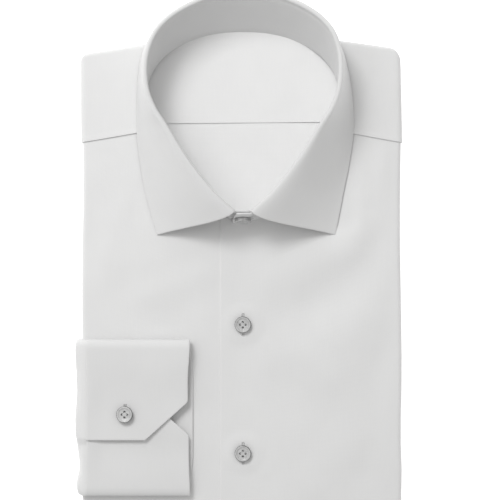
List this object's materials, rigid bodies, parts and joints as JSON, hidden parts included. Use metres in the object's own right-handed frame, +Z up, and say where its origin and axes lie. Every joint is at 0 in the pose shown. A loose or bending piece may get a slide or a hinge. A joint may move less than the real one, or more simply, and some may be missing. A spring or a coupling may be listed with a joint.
{
  "type": "folded dress shirt",
  "caption": "Long-sleeved button-front shirt folded flat, spread collar standing, one buttoned cuff turned onto the front.",
  "frame": {"origin": "middle of the bounding box in plan, on the surface the folded shirt lies on", "axes": "+X to the shirt's left side, which is on the right when it is seen from above with the collar away from the viewer; +Y from the bottom fold to the collar; +Z up out of the fronts"},
  "size_m": [0.2348, 0.3866, 0.06],
  "materials": {
    "shirting": "pressed white cotton poplin, matt",
    "buttons": "pale grey pearl resin, polished"
  },
  "bodies": {
    "root": {"right_front": "shirting", "left_front": "shirting", "yoke": "shirting", "back_panel": "shirting", "folded_layers": "shirting", "collar_stand": "shirting", "collar_leaf": "shirting", "right_sleeve": "shirting", "right_cuff": "shirting", "right_sleeve_upper": "shirting", "left_sleeve": "shirting", "front_button_1": "buttons", "front_button_2": "buttons", "cuff_button": "buttons", "collar_button": "buttons"}
  },
  "joints": []
}
